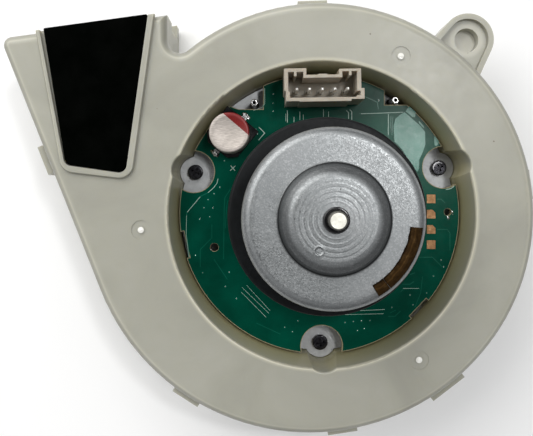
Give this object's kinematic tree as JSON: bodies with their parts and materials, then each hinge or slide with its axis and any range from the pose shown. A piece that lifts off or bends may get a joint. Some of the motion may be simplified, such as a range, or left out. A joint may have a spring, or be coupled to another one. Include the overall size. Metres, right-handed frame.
{
  "type": "combustion fan",
  "caption": "Plastic scroll blower with a sunk external-rotor motor, drive board and plug header, closed impeller, open outlet duct and round intake.",
  "frame": {"origin": "on the shaft axis at the flat intake face", "axes": "+Z along the shaft towards the motor; the outlet duct is on the -X side and blows towards +Y"},
  "size_m": [0.1074, 0.0887, 0.0577],
  "materials": {
    "housing_plastic": "moulded, slightly translucent off-white, satin",
    "black_pad": "matt black sheet",
    "cast_plate": "fine blasted, light grey",
    "black_screw": "gloss black",
    "bright_steel": "ground, bright",
    "bearing_steel": "ground",
    "cage_plastic": "moulded",
    "lamination_steel": "stamped laminations",
    "insulator_plastic": "moulded",
    "copper_wire": "enamelled copper wire",
    "tinned_pin": "tin plated",
    "green_board": "solder mask, dark green",
    "beige_plastic": "moulded, warm beige",
    "capacitor_aluminium": "brushed can",
    "black_plastic": "moulded",
    "bare_copper": "bare copper",
    "zinc_can": "zinc plated, satin",
    "black_ring": "black coated",
    "magnet": "bonded magnet",
    "brass_insert": "turned",
    "black_collar": "gloss black",
    "brown_putty": "set putty, dull brown",
    "impeller_plastic": "moulded, grey"
  },
  "bodies": {
    "housing": {"upper_casing": "housing_plastic", "lower_casing": "housing_plastic", "outlet_pad": "black_pad", "motor_base_plate": "cast_plate", "motor_screws": "black_screw", "locating_pins": "bright_steel", "bearing_tube": "cast_plate", "lower_bearing_outer_race": "bearing_steel", "lower_bearing_shields": "bearing_steel", "upper_bearing_outer_race": "bearing_steel", "upper_bearing_shields": "bearing_steel", "preload_washer": "bright_steel", "stator_core": "lamination_steel", "stator_insulator_upper": "insulator_plastic", "stator_insulator_lower": "insulator_plastic", "stator_windings": "copper_wire", "winding_terminals": "tinned_pin", "circuit_board": "green_board", "connector_housing": "beige_plastic", "connector_pins": "tinned_pin", "capacitor_can": "capacitor_aluminium", "capacitor_base": "black_plastic", "capacitor_terminals": "tinned_pin", "test_pads": "bare_copper", "hall_sensors": "black_plastic", "driver_chip": "black_plastic", "power_transistors": "black_plastic", "chip_resistors": "black_plastic"},
    "rotor": {"rotor_cup": "zinc_can", "flux_ring": "black_ring", "rotor_magnet": "magnet", "rotor_hub_bush": "brass_insert", "shaft_collar": "black_collar", "motor_shaft": "bright_steel", "shaft_clip": "bright_steel", "balance_strip_long": "brown_putty", "balance_strip_short": "brown_putty", "lower_bearing_inner_race": "bearing_steel", "upper_bearing_inner_race": "bearing_steel", "impeller": "impeller_plastic", "impeller_shroud": "impeller_plastic", "impeller_insert": "brass_insert", "impeller_retainer": "bright_steel"},
    "lower_cage": {"lower_bearing_balls": "bearing_steel", "lower_bearing_cage": "cage_plastic"},
    "upper_cage": {"upper_bearing_balls": "bearing_steel", "upper_bearing_cage": "cage_plastic"}
  },
  "joints": [
    {"name": "rotor_spin", "type": "hinge", "parent": "housing", "child": "rotor", "pos_m": [0, 0, 0.03], "axis": [0, 0, 1], "continuous": true},
    {"name": "lower_cage_spin", "type": "hinge", "parent": "housing", "child": "lower_cage", "pos_m": [0, 0, 0.018], "axis": [0, 0, 1], "continuous": true},
    {"name": "upper_cage_spin", "type": "hinge", "parent": "housing", "child": "upper_cage", "pos_m": [0, 0, 0.044], "axis": [0, 0, 1], "continuous": true}
  ],
  "couplings": [
    {"joint": "lower_cage_spin", "follows": "rotor_spin", "ratio": 0.3778},
    {"joint": "upper_cage_spin", "follows": "rotor_spin", "ratio": 0.3778}
  ]
}
